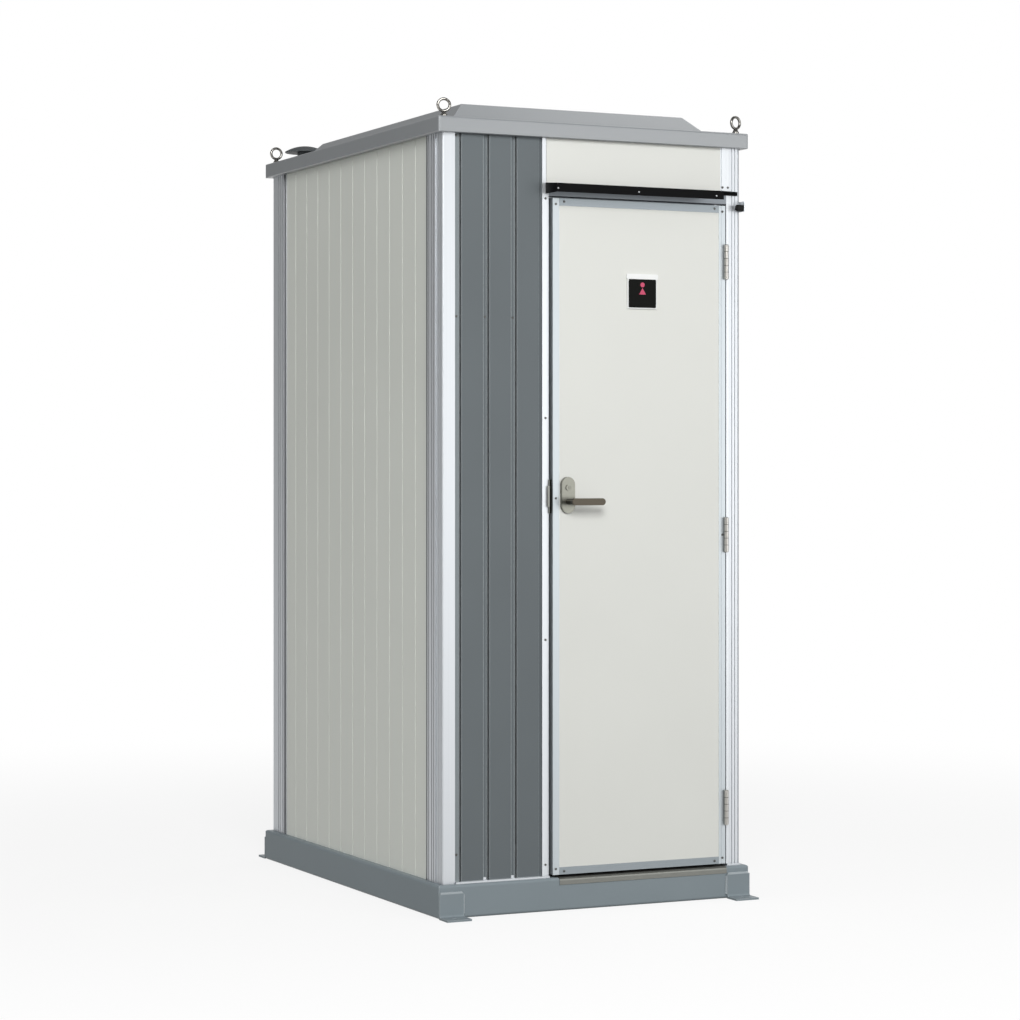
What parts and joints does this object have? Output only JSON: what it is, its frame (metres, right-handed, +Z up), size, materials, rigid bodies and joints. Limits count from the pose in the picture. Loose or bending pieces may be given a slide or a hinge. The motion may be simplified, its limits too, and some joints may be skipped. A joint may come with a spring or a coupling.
{
  "type": "portable toilet cabin",
  "caption": "Portable toilet cabin: ribbed panel walls in an aluminium post frame on a steel skid, with a hinged lever door, a rain hood, a raised roof pan and lifting eyes.",
  "frame": {"origin": "ground level at the middle of the skid's footprint, feet included", "axes": "+Z up, the door faces -Y, +X towards the hinge side"},
  "size_m": [1, 1.5, 2.307],
  "materials": {
    "skid_paint": "satin grey enamel",
    "roof_paint": "satin light grey enamel",
    "post_aluminium": "clear anodised",
    "jamb_aluminium": "clear anodised",
    "wall_sheet": "satin coil-coated sheet",
    "cladding_paint": "matt grey powder coat",
    "door_sheet": "satin coil-coated sheet",
    "door_edging": "clear anodised",
    "stainless": "brushed",
    "lock_nickel": "satin nickel",
    "hood_black": "gloss black",
    "stop_rubber": "black rubber",
    "vent_plastic": "dark grey moulded",
    "eye_zinc": "bright plated",
    "floor_board": "resin-faced plywood",
    "sign_clear": "moulded holder",
    "sign_black": "gloss black plate"
  },
  "bodies": {
    "cabin": {"base_front": "skid_paint", "base_right": "skid_paint", "base_rear": "skid_paint", "base_left": "skid_paint", "foot_front_left": "skid_paint", "foot_front_right": "skid_paint", "foot_rear_right": "skid_paint", "foot_rear_left": "skid_paint", "floor_panel": "floor_board", "threshold": "stainless", "post_front_left": "post_aluminium", "post_front_right": "post_aluminium", "post_rear_right": "post_aluminium", "post_rear_left": "post_aluminium", "left_stiles": "post_aluminium", "right_stiles": "post_aluminium", "rear_stiles": "post_aluminium", "left_wall": "wall_sheet", "right_wall": "wall_sheet", "rear_wall": "wall_sheet", "front_panel": "wall_sheet", "cladding_starter": "cladding_paint", "cladding_board_left": "cladding_paint", "cladding_board_middle": "cladding_paint", "cladding_board_right": "cladding_paint", "front_sill": "post_aluminium", "jamb_left": "jamb_aluminium", "jamb_right": "jamb_aluminium", "door_head": "jamb_aluminium", "transom_panel": "door_sheet", "rain_hood": "hood_black", "fascia_front": "roof_paint", "fascia_right": "roof_paint", "fascia_rear": "roof_paint", "fascia_left": "roof_paint", "ceiling_panel": "wall_sheet", "roof_pan": "roof_paint", "vent_cap": "vent_plastic", "lifting_eyes": "eye_zinc", "frame_hinges": "stainless", "strike_plate": "stainless", "door_stop_strap": "stainless", "door_stop": "stop_rubber"},
    "door": {"door_panel": "door_sheet", "door_stiles": "door_edging", "door_rails": "door_edging", "door_hinges": "stainless", "lock_plates": "lock_nickel", "lock_cylinder": "lock_nickel", "lock_faceplate": "stainless", "sign_holder": "sign_clear", "sign_plate": "sign_black"},
    "lever": {"lever_handle": "lock_nickel"}
  },
  "joints": [
    {"name": "door_swing", "type": "hinge", "parent": "cabin", "child": "door", "pos_m": [0.4248, -0.69, 1.068], "axis": [0, 0, 1], "range_deg": [0, 165]},
    {"name": "lever_turn", "type": "hinge", "parent": "door", "child": "lever", "pos_m": [-0.0945, -0.69, 1.167], "axis": [0, 1, 0], "range_deg": [0, 45], "stiffness_Nm_per_rad": 1, "springref_deg": -34.38}
  ]
}
